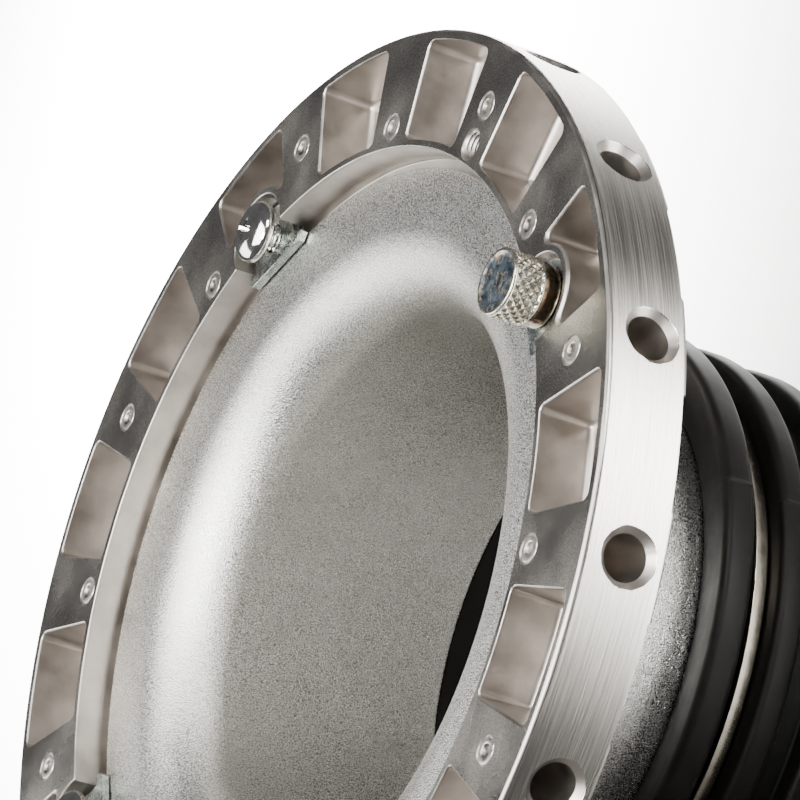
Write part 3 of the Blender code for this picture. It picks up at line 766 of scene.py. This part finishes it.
def makeRodRing():
    s = rodRing
    back = frontZ - s["backDrop"]
    pad = back - s["padHeight"]
    ledge = frontZ - s["ledgeDrop"]
    e = s["edge"]
    profile = roundedProfile([
        (s["bore"], frontZ, s["boreEdge"]),
        (outerR, frontZ, e),
        (outerR, pad, e * 1.3),
        (80.0 * mm, pad, 0.3 * mm),
        (79.0 * mm, back, 0.4 * mm),
        (s["rearBore"], back, e),
        (s["rearBore"], ledge, e),
        (s["bore"], ledge, 0.3 * mm),
    ])
    ring = turned("rodRing", profile, s["segments"], ring=True)

    backCut = bmesh.new()
    half = math.radians(6.0)
    for k in range(sectors):
        base = arcPoints((0, 0), outerR + 2 * mm, -half, half, 8) + arcPoints((0, 0), 77 * mm, half, -half, 8)
        turn = Matrix.Rotation((k + 0.5) * step, 4, "Z")
        low = [turn @ Vector((*p, back - 3 * mm)) for p in grown(base, 0.5 * mm)]
        mid = [turn @ Vector((*p, back - 0.25 * mm)) for p in base]
        top = [turn @ Vector((*p, back)) for p in grown(base, -0.25 * mm)]
        stackLoops(backCut, [low, mid, top])
    cutters = [meshObject("backCut", backCut)]
    cutters.append(joinInto("pocketCuts", [pocketCutter(k) for k in range(sectors)]))

    notches = []
    holes = []
    floor = frontZ - s["notchDrop"]
    n = s["notch"]
    notchShape = [(n - 0.5 * mm, floor), (n - 0.15 * mm, floor + 0.12 * mm), (n, floor + 0.5 * mm),
                  (n, frontZ - 0.35 * mm), (n + 0.12 * mm, frontZ - 0.12 * mm),
                  (n + 0.4 * mm, frontZ + 0.08 * mm), (n + 1.2 * mm, frontZ + 0.6 * mm)]
    holeShape = [(2.55 * mm, pad - 2 * mm), (2.55 * mm, floor + 0.3 * mm)]
    for k in range(4):
        spot = Matrix.Translation(polar(notchR, fixingAngle + k * math.pi / 2))
        screwSpot = Matrix.Translation(polar(fixingR, fixingAngle + k * math.pi / 2))
        notches.append(place(turned("notch", notchShape, 96), spot))
        holes.append(place(turned("hole", holeShape, 32), screwSpot))
    seat = floor - 1.0 * mm               # sunk seat for the thumb screw's clip
    r = 5.0 * mm
    seatShape = [(r - 0.15 * mm, seat), (r, seat + 0.15 * mm), (r, floor + 0.4 * mm)]
    clipSeat = turned("clipSeat", seatShape, 48)
    cutters.append(place(clipSeat, Matrix.Translation(polar(fixingR, fixingAngle))))
    cutters.append(joinInto("notchCuts", notches))

    turns = [(2.95 * mm if i % 2 else 2.5 * mm, frontZ - s["spareDepth"] + i * 0.4 * mm) for i in range(24)]
    turns = [(r, z) for r, z in turns if z < frontZ - 0.2 * mm] + [(3.1 * mm, frontZ + 0.2 * mm)]
    holes.append(place(turned("spare", turns, 40), Matrix.Translation(polar(s["spareR"], s["spareAngle"]))))
    cutters.append(joinInto("holeCuts", holes))
    cutters.append(joinInto("socketCuts", [socketCutter(k) for k in range(sectors)]))

    markShape = [(0.4, -0.62), (0.95, -0.55), (1.2, -0.20), (1.32, -0.08), (1.5, -0.05), (2.1, -0.05),
                 (2.3, -0.09), (2.42, -0.26), (2.6, -0.26), (2.72, -0.08), (2.85, 0.2)]
    markShape = [(r * mm, frontZ + z * mm) for r, z in markShape]
    marks = []
    for k in range(sectors):
        if k % 2 == 0 and abs(k * step - s["spareAngle"]) < 0.01:
            continue
        marks.append(place(turned("mark", markShape, 36), Matrix.Translation(markSpot(k))))
    cutters.append(joinInto("markCuts", marks))
    subtract(ring, cutters)
    facetNormals(ring, 40)
    settle(ring, "ring", castMetal, "cast_aluminium", "rod_ring")
    ring.data.materials.append(markMetal)
    ring.data.materials.append(markCore)
    for poly in ring.data.polygons:
        depth = frontZ - poly.center.z
        if not 0.02 * mm < depth < 0.7 * mm:
            continue
        k = round(math.atan2(poly.center.y, poly.center.x) / step) % sectors
        off = (poly.center - markSpot(k)).xy.length
        if off < 1.3 * mm:
            poly.material_index = 2
        elif off < 2.36 * mm:
            poly.material_index = 1


makeRodRing()
print("rod ring")


coneInsert = {
    "segments": 288,
    "flange": 75.9 * mm,
    "flangeDrop": 5.5 * mm,
    "sheet": 1.3 * mm,
    "shoulderAt": 65.0 * mm,
    "shoulder": 12.5 * mm,
    "shoulderEnd": math.radians(176.7),
    "neck": 50.0 * mm,
    "neckEnd": 33.25 * mm,
    "wobble": 0.05 * mm,
}


def makeConeInsert():
    s = coneInsert
    top = frontZ - s["flangeDrop"]
    centre = (s["shoulderAt"], top - s["shoulder"])
    inner = s["shoulder"] - s["sheet"]
    lip = 0.35 * mm
    profile = arcPoints((s["flange"] - lip, top - lip), lip, 0.0, math.pi / 2, 4)
    profile += [(s["flange"] - t * mm, top) for t in (2.0, 4.0, 6.0, 8.0)]
    profile += arcPoints(centre, s["shoulder"], math.pi / 2, s["shoulderEnd"], 26)
    start = profile[-1]
    end = (s["neck"], s["neckEnd"])
    profile += between(start, end, 12)
    edge = s["sheet"] / 2                 # rounded end of the sheet, inside the collar
    profile += arcPoints((s["neck"] + edge, s["neckEnd"] + 0.4 * mm), edge, math.pi, 2 * math.pi, 5)
    profile += arcPoints(centre, inner, s["shoulderEnd"], math.pi / 2, 20)
    profile += [(s["flange"] - lip, top - s["sheet"]), (s["flange"], top - s["sheet"] + lip)]

    def spun(r, z, a):
        wave = noiseAt(Vector((math.cos(a) * 2.3, math.sin(a) * 2.3, z * 70)))
        return r + wave * s["wobble"] * 0.5, z + wave * s["wobble"] * (r > 60 * mm)

    ob = turned("coneInsert", profile, s["segments"], ring=True, shape=spun, smoothAngle=50)
    settle(ob, "insert", blastMetal, "blasted_aluminium", "cone_insert")


makeConeInsert()
print("spun insert")


rubberCollar = {
    "segments": 320,
    "bore": 50.0 * mm,
    "neckSeat": 51.66 * mm,
    "faceDish": 1.7 * mm,
    "groove": 54.9 * mm,
    "ribs": ((37.4, 44.0, 61.5), (25.5, 31.1, 60.4), (12.9, 19.0, 59.8), (0.0, 6.4, 59.2)),
    "crestRound": 1.5 * mm,
    "rootRound": 0.7 * mm,
    "seamAngles": (math.radians(27.5), math.radians(207.5)),
    "seamProud": 0.16 * mm,
    "seamHalf": 0.30 * mm,
}


def collarAngles():
    s = rubberCollar
    angles = [2 * math.pi * k / s["segments"] for k in range(s["segments"])]
    near = []
    for seam in s["seamAngles"]:
        for share in (-2.2, -1.2, -0.7, -0.3, 0.0, 0.3, 0.7, 1.2, 2.2):
            near.append((seam + share * s["seamHalf"] / s["groove"]) % (2 * math.pi))
    clear = 2 * math.pi / s["segments"] * 0.45
    kept = [a for a in angles if all(abs(a - b) > clear for b in near)]
    return sorted(kept + near)


def makeRubberCollar():
    s = rubberCollar
    front = s["ribs"][0][1] * mm
    neckEnd = coneInsert["neckEnd"]
    points = [(s["bore"], 0.0, 0.5 * mm), (s["bore"], neckEnd - 0.3 * mm, 0.0),
              (s["neckSeat"], neckEnd - 0.3 * mm, 0.0),
              (s["neckSeat"] + 0.25 * mm, front - s["faceDish"], 0.3 * mm)]
    for rear, ahead, radius in s["ribs"]:
        rear, ahead, radius = rear * mm, ahead * mm, radius * mm
        if ahead < front:
            points.append((s["groove"], ahead, s["rootRound"]))
        points.append((radius, ahead, s["crestRound"]))
        points.append((radius, rear, s["crestRound"] if rear > 0 else 0.5 * mm))
        if rear > 0:
            points.append((s["groove"], rear, s["rootRound"]))
    profile = []
    rounded = roundedProfile(points, 5)
    for p, q in zip(rounded, rounded[1:] + rounded[:1]):
        profile.append(p)
        profile += between(p, q, int(math.dist(p, q) / (3.5 * mm)) + 1)
    angles = collarAngles()
    loops = []
    for r, z in profile:
        loop = []
        for a in angles:
            outside = min(1.0, max(0.0, (r - 55.5 * mm) / (1.5 * mm)))
            sag = noiseAt(Vector((math.cos(a) * 3, math.sin(a) * 3, z * 90))) * 0.09 * mm
            seam = 0.0
            for at in s["seamAngles"]:
                off = abs((a - at + math.pi) % (2 * math.pi) - math.pi) * r
                seam = max(seam, math.exp(-(off / s["seamHalf"]) ** 2))
            loop.append(polar(r + outside * (seam * s["seamProud"] + sag - 0.17 * mm), a, z))
        loops.append(loop)
    bm = bmesh.new()
    stackLoops(bm, loops, ring=True)
    ob = meshObject("rubberCollar", bm, 60)
    settle(ob, "insert", rubber, "black_rubber", "rubber_collar")


makeRubberCollar()
print("rubber collar")


strapClamp = {
    "inner": 55.2 * mm,
    "thick": 0.8 * mm,
    "rear": 31.4 * mm,
    "width": 2.6 * mm,
    "halfGap": math.radians(5.2),
    "earThick": 1.7 * mm,
    "earFoot": (55.4 * mm, 5.4 * mm),
    "earHead": (61.9 * mm, 71.0 * mm, 9.2 * mm),
    "corner": 2.0 * mm,
    "boltR": 2.0 * mm,
    "boltAt": (-66.4 * mm, 34.2 * mm),
    "boltLength": 26.0 * mm,
    "pitch": 0.7 * mm,
    "gap": 0.3 * mm,                      # clearance between the closure's parts
    "washer": (4.4 * mm, 0.8 * mm),
    "nut": (4.6 * mm, 7.0 * mm),
    "nutKnurls": 28,
}


def earCorners():
    s = strapClamp
    z = s["boltAt"][1]
    low, high, width = s["earHead"]
    base = s["earFoot"][0]
    foot = s["earFoot"][1] / 2
    head = width / 2
    corner = s["corner"]
    return [(base, z - foot, 0.0), (low, z - foot, 0.4 * mm), (low, z - head, 0.8 * mm),
            (high, z - head, corner), (high, z + head, corner), (low, z + head, 0.8 * mm),
            (low, z + foot, 0.4 * mm), (base, z + foot, 0.0)]


def boltLay():
    x, z = strapClamp["boltAt"]
    return Matrix.Translation((x, 0, z)) @ Matrix.Rotation(math.pi / 2, 4, "X")


def makeStrap():
    s = strapClamp
    low = s["rear"]
    high = low + s["width"]
    outside = s["inner"] + s["thick"]
    section = roundedProfile([(s["inner"], low, 0.2 * mm), (outside, low, 0.25 * mm),
                              (outside, high, 0.25 * mm), (s["inner"], high, 0.2 * mm)], 3)
    bm = bmesh.new()
    start = -math.pi + s["halfGap"]
    sweep = 2 * math.pi - 2 * s["halfGap"]
    loops = [[polar(r, start + sweep * k / 240, z) for r, z in section] for k in range(241)]
    stackLoops(bm, loops)
    band = meshObject("strapBand", bm)
    ears = bmesh.new()
    outline = roundedProfile(earCorners(), 5)
    earEnd = s["earFoot"][0] * math.sin(s["halfGap"]) + 0.5 * mm
    bevel = 0.18 * mm
    layers = [(-bevel, 0.0), (0.0, bevel), (0.0, s["earThick"] - bevel), (-bevel, s["earThick"])]
    for side in (-1, 1):
        stackLoops(ears, [[Vector((-r, side * (earEnd - inset), z)) for r, z in grown(outline, size)]
                          for size, inset in layers])
    earMesh = meshObject("strapEars", ears)
    mod = band.modifiers.new("ears", "BOOLEAN")
    mod.operation = "UNION"
    mod.solver = "EXACT"
    mod.object = earMesh
    bakeModifiers(band)
    bpy.data.objects.remove(earMesh)
    holeR = s["boltR"] + s["gap"]
    hole = turned("boltHole", [(holeR, -12 * mm), (holeR, 12 * mm)], 40)
    subtract(band, [place(hole, boltLay())])
    facetNormals(band, 30)
    settle(band, "insert", strapSteel, "strap_steel", "strap_band")
    return earEnd


def threadShape(major, pitch, low, high):
    depth = 0.5 * pitch

    def shape(r, z, a):
        if z < low or z > high or r < major - 1.2 * depth:
            return r, z
        phase = (z / pitch - a / (2 * math.pi)) % 1.0
        ridge = min(1.0, 2.3 * abs(phase - 0.5))
        runOut = min(1.0, (z - low) / pitch, (high - z) / pitch)
        return r - depth * (1 - ridge) * runOut, z
    return shape


def threadRows(r, low, high, rise):
    rows = max(2, int((high - low) / rise))
    return [(r, low + (high - low) * k / rows) for k in range(rows + 1)]


def hexCutter(across, low, high):
    loop = [polar(across / math.sqrt(3), math.pi / 3 * k) for k in range(6)]
    tip = [p * 0.05 for p in loop]
    bm = bmesh.new()
    rows = ((tip, low - across * 0.25), (loop, low), (loop, high))
    stackLoops(bm, [[Vector((p.x, p.y, z)) for p in row] for row, z in rows])
    return meshObject("hexCut", bm)


def makeClampBolt(head):
    s = strapClamp
    r = s["boltR"]
    end = head + s["boltLength"]
    profile = [(0.05 * mm, head - 2.8 * mm), (3.0 * mm, head - 2.8 * mm), (3.35 * mm, head - 2.7 * mm),
               (3.6 * mm, head - 2.4 * mm), (3.6 * mm, head - 0.15 * mm), (3.5 * mm, head), (r, head),
               (r, head + 0.6 * mm)]
    profile += threadRows(r, head + 0.8 * mm, end - 0.5 * mm, 0.09 * mm)
    profile += [(r - 0.5 * mm, end), (0.05 * mm, end)]
    thread = threadShape(r, s["pitch"], head + 0.7 * mm, end - 0.4 * mm)
    bolt = turned("clampBolt", profile, 40, shape=thread, smoothAngle=50)
    key = hexCutter(3.0 * mm, 0.0, 2.0 * mm)
    sunk = Matrix.Translation((0, 0, head - 3.0 * mm)) @ Matrix.Rotation(math.pi, 4, "X")
    subtract(bolt, [place(key, sunk @ Matrix.Translation((0, 0, -1.6 * mm)))])
    settle(place(bolt, boltLay()), "insert", zincSteel, "zinc_steel", "clamp_bolt")


def makeWasher(name, at, body, node):
    inner = strapClamp["boltR"] + strapClamp["gap"]
    outer, thick = strapClamp["washer"]
    ring = roundedProfile([(inner, 0.0, 0.1 * mm), (outer, 0.0, 0.15 * mm), (outer, thick, 0.25 * mm),
                           (inner, thick, 0.1 * mm)], 3)
    washer = place(turned(name, ring, 64, ring=True), boltLay() @ Matrix.Translation((0, 0, at)))
    settle(washer, body, zincSteel, "zinc_steel", node)


def makeClampNut(base):
    s = strapClamp
    inner = s["boltR"] + s["gap"]
    outer, long = s["nut"]
    hub = outer - 1.0 * mm
    profile = roundedProfile([(inner, 0.0, 0.1 * mm), (hub, 0.0, 0.15 * mm), (hub, 1.4 * mm, 0.1 * mm),
                              (outer, 1.8 * mm, 0.15 * mm), (outer, long, 0.3 * mm),
                              (inner, long, 0.2 * mm)], 3)
    dense = []
    for p, q in zip(profile, profile[1:] + profile[:1]):
        dense.append(p)
        if min(p[0], q[0]) > outer - 0.05 * mm:
            dense += between(p, q, int(math.dist(p, q) / (0.1 * mm)) + 1)
    knurl = knurlShape(outer, s["nutKnurls"], 2.0 * mm, long - 0.35 * mm, 0.3 * mm)
    nut = turned("clampNut", dense, 224, ring=True, shape=knurl, smoothAngle=180)
    facetNormals(nut, 50)
    place(nut, boltLay() @ Matrix.Translation((0, 0, base)))
    settle(nut, "clamp_nut", knurlPlate, "knurled_nickel", "clamp_nut")


def makeClosure(earEnd):
    gap = strapClamp["gap"]
    thick = strapClamp["washer"][1]
    washerAt = -earEnd - gap - thick
    makeClampBolt(washerAt - gap)
    makeWasher("boltWasher", washerAt, "insert", "bolt_washer")
    makeWasher("nutWasher", earEnd + gap, "nut_washer", "nut_washer")
    makeClampNut(earEnd + gap + thick + gap)


def knurlShape(major, count, low, high, depth):
    pitch = 2 * math.pi * major / count

    def shape(r, z, a):
        if z < low or z > high or r < major - 0.1 * mm:
            return r, z
        u = a * count / (2 * math.pi)
        v = z / pitch
        first = abs(((u + v) % 1.0) - 0.5) * 2
        second = abs(((u - v) % 1.0) - 0.5) * 2
        point = min(1.0, 1.25 * min(first, second) + 0.05)
        fade = min(1.0, (z - low) / (0.25 * mm), (high - z) / (0.25 * mm))
        return r - depth * (1 - point) * fade, z
    return shape


makeClosure(makeStrap())
print("strap clamp")


clampPlate = {
    "round": 6.9 * mm,
    "flareAt": -3.9 * mm,
    "innerAt": -6.0 * mm,
    "half": 9.3 * mm,
    "nick": 1.3 * mm,
    "roundSweep": math.radians(104),      # the round part reaches this far to each side
    "twist": math.radians(-4.0),
    "thick": 1.6 * mm,
    "rear": 88.8 * mm,
    "hole": 2.8 * mm,
    "edge": 0.28 * mm,
}


def plateOutline():
    s = clampPlate
    side = [(s["flareAt"], s["round"]), (s["flareAt"] - 0.3 * mm, s["half"] - 0.2 * mm),
            (s["innerAt"] + s["nick"], s["half"]), (s["innerAt"], s["half"] - s["nick"])]
    tongue = arcPoints((0, 0), s["round"], -s["roundSweep"], s["roundSweep"], 44)
    return tongue + side + [(x, -y) for x, y in reversed(side)]


def makeClampPlate(name, angle, body, node, lift=0.0):
    s = clampPlate
    outline = plateOutline()
    e = s["edge"]
    t = s["thick"]
    layers = ((-0.45 * e, 0.0), (0.0, 0.5 * e), (0.0, t - e), (-0.3 * e, t - 0.3 * e), (-e, t))
    bm = bmesh.new()
    loops = [[Vector((p[0], p[1], s["rear"] + z)) for p in grown(outline, size)] for size, z in layers]
    stackLoops(bm, loops)
    ob = meshObject(name, bm, 30)
    r = s["hole"]
    low = s["rear"]
    high = low + t
    holeShape = [(r + 0.4 * mm, low - 0.3 * mm), (r, low + 0.15 * mm), (r, high - 0.15 * mm),
                 (r + 0.4 * mm, high + 0.3 * mm)]
    subtract(ob, [turned("plateHole", holeShape, 48)])
    facetNormals(ob, 30)
    place(ob, Matrix.Translation(polar(fixingR, angle, lift)) @ Matrix.Rotation(angle + s["twist"], 4, "Z"))
    settle(ob, body, zincPlate, "zinc_plate", node)


panScrew = {
    "shank": 2.5 * mm,
    "pitch": 0.8 * mm,
    "end": 81.5 * mm,
    "head": 5.9 * mm,
    "headDrop": 0.5 * mm,                 # the head's rim lies below the ring's face
    "headRise": 3.4 * mm,
    "rimRise": 0.7 * mm,
    "neck": 1.5 * mm,                     # smooth length under the head
    "armLength": 2.5 * mm,
    "armHalf": 0.62 * mm,
    "recessDepth": 2.1 * mm,
}


def crossCutter(top):
    s = panScrew
    loops = []
    depth = s["recessDepth"]
    rows = ((top - depth, 0.30, 0.55), (top - depth * 0.45, 0.68, 0.8), (top + 0.6 * mm, 1.08, 1.06))
    for z, reach, width in rows:
        a = s["armLength"] * reach
        w = min(s["armHalf"] * width, a * 0.8)
        loop = []
        for k in range(4):
            c = math.cos(k * math.pi / 2)
            d = math.sin(k * math.pi / 2)
            for x, y in ((w, -w), (a * 0.9, -w), (a, -w * 0.6), (a, w * 0.6), (a * 0.9, w)):
                loop.append(Vector((x * c - y * d, x * d + y * c, z)))
        loops.append(loop)
    bm = bmesh.new()
    stackLoops(bm, loops)
    return meshObject("crossCut", bm)


def makePanScrew(name, angle, node, turn):
    s = panScrew
    rim = frontZ - s["headDrop"]
    neckLow = rim - s["neck"]
    r = s["shank"]
    profile = [(0.05 * mm, s["end"]), (r - 0.7 * mm, s["end"]), (r - 0.1 * mm, s["end"] + 0.6 * mm)]
    profile += threadRows(r, s["end"] + 0.7 * mm, neckLow, 0.1 * mm)
    profile += [(r - 0.12 * mm, neckLow + 0.1 * mm), (r - 0.12 * mm, rim - 0.5 * mm),
                (r + 0.05 * mm, rim - 0.15 * mm), (r + 0.35 * mm, rim + 0.02 * mm),
                (s["head"] - 0.35 * mm, rim + 0.02 * mm)]
    profile += arcPoints((s["head"] - 0.3 * mm, rim + 0.32 * mm), 0.3 * mm, -math.pi / 2, 0.0, 3)
    crown = s["headRise"] - s["rimRise"]
    for k in range(15):
        a = math.pi / 2 * k / 14.6
        profile.append((s["head"] * math.cos(a) ** 0.92, rim + s["rimRise"] + crown * math.sin(a)))
    profile.append((0.05 * mm, rim + s["headRise"]))
    thread = threadShape(r, s["pitch"], s["end"] + 0.6 * mm, neckLow)
    ob = turned(name, profile, 72, shape=thread, smoothAngle=50)
    subtract(ob, [crossCutter(rim + s["headRise"])])
    facetNormals(ob, 32)
    place(ob, Matrix.Translation(polar(fixingR, angle)) @ Matrix.Rotation(turn, 4, "Z"))
    settle(ob, "ring", nickel, "bright_nickel", node)


thumbScrew = {
    "lift": 2.2 * mm,                     # it rests loosened by this much, its plate with it
    "knob": 6.0 * mm,
    "top": 102.4 * mm,
    "length": 6.2 * mm,
    "neck": 5.6 * mm,
    "foot": 92.9 * mm,
    "knurls": 20,
    "knurlDepth": 0.36 * mm,
    "lip": 0.5 * mm,                      # plain ring in front of the knurl
}


def makeThumbScrew():
    s = thumbScrew
    r = panScrew["shank"]
    top = s["top"]
    knob = s["knob"]
    skirt = top - s["length"]
    end = panScrew["end"] + s["lift"]
    profile = [(0.05 * mm, end), (r - 0.7 * mm, end), (r - 0.1 * mm, end + 0.6 * mm)]
    profile += threadRows(r, end + 0.7 * mm, s["foot"] - 0.2 * mm, 0.1 * mm)
    profile += roundedProfile([(r, s["foot"], 0.0), (s["neck"], s["foot"], 0.45 * mm),
                               (s["neck"], skirt - 0.1 * mm, 0.25 * mm), (knob - 0.15 * mm, skirt, 0.1 * mm),
                               (knob, skirt + 0.3 * mm, 0.0)], 4)
    knurlLow = skirt + 0.35 * mm
    knurlHigh = top - s["lip"]
    profile += threadRows(knob, knurlLow, knurlHigh, 0.105 * mm)
    profile += [(knob - 0.05 * mm, knurlHigh + 0.03 * mm), (knob - 0.05 * mm, top - 0.28 * mm),
                (knob - 0.12 * mm, top - 0.1 * mm), (knob - 0.3 * mm, top),
                (knob - 0.75 * mm, top - 0.02 * mm), (knob - 0.95 * mm, top - 0.14 * mm)]
    profile += [(knob * t, top - 0.16 * mm - 0.05 * mm * (1 - t)) for t in (0.7, 0.5, 0.3, 0.15)]
    profile.append((0.05 * mm, top - 0.2 * mm))
    knurl = knurlShape(knob, s["knurls"], knurlLow, knurlHigh, s["knurlDepth"])
    thread = threadShape(r, panScrew["pitch"], end + 0.6 * mm, s["foot"] - 0.2 * mm)

    def shape(rr, z, a):
        return knurl(rr, z, a) if rr > knob - 0.1 * mm else thread(rr, z, a)

    ob = turned("thumbScrew", profile, 320, shape=shape, smoothAngle=180)
    facetNormals(ob, 48)
    ob.data.materials.clear()
    ob.data.materials.append(knurlPlate)
    ob.data.materials.append(knobFace)
    ob.data.materials.append(knobNeck)
    place(ob, Matrix.Translation(polar(fixingR, fixingAngle)))
    for poly in ob.data.polygons:
        spot = poly.center - polar(fixingR, fixingAngle)
        off = math.hypot(spot.x, spot.y)
        if poly.center.z > top - 0.25 * mm and off < knob - 0.6 * mm:
            poly.material_index = 1
        # the neck under the knob takes the painted shade material
        elif s["foot"] - 0.05 * mm < poly.center.z < skirt - 0.02 * mm and off > r + 0.1 * mm:
            poly.material_index = 2
    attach(ob, "thumb_screw")
    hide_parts("thumb_screw")


plateClip = {
    "inner": 2.8 * mm,
    "outer": 4.4 * mm,
    "thick": 0.6 * mm,
    "below": 0.9 * mm,                    # its rear face, behind the thumb plate's
    "edge": 0.12 * mm,
    "halfGap": math.radians(14),
}


def makePlateClip():
    s = plateClip
    low = clampPlate["rear"] + thumbScrew["lift"] - s["below"]
    high = low + s["thick"]
    corners = [(s["inner"], low), (s["outer"], low), (s["outer"], high), (s["inner"], high)]
    section = roundedProfile([(*corner, s["edge"]) for corner in corners], 3)
    sweep = 2 * math.pi - 2 * s["halfGap"]
    bm = bmesh.new()
    stackLoops(bm, [[polar(r, s["halfGap"] + sweep * k / 70, z) for r, z in section] for k in range(71)])
    ob = meshObject("plateClip", bm)
    place(ob, Matrix.Translation(polar(fixingR, fixingAngle)))
    settle(ob, "thumb_screw", darkSpring, "spring_steel", "plate_clip")


makeClampPlate("thumbPlate", fixingAngle, "thumb_plate", "thumb_plate", thumbScrew["lift"])
for number, label in enumerate("abc", 1):
    angle = fixingAngle + number * math.pi / 2
    makeClampPlate("clampPlate_" + label, angle, "ring", "clamp_plate_" + label)
    makePanScrew("panScrew_" + label, angle, "pan_screw_" + label, 0.5 + 0.9 * number)
makeThumbScrew()
makePlateClip()
print("clamp plates and screws")


def keepPanelsOffPaper():
    lit = bpy.data.collections.new("litPieces")
    for ob in bpy.data.objects:
        if ob.type == "MESH" and ob.name != "floor":
            lit.objects.link(ob)
    for name, spec in studio["panels"].items():
        target = lit
        if "on" in spec:
            target = bpy.data.collections.new(name + "Only")
            target.objects.link(bpy.data.objects[spec["on"]])
        bpy.data.objects[name].light_linking.receiver_collection = target


keepPanelsOffPaper()
print("panels kept off the paper")
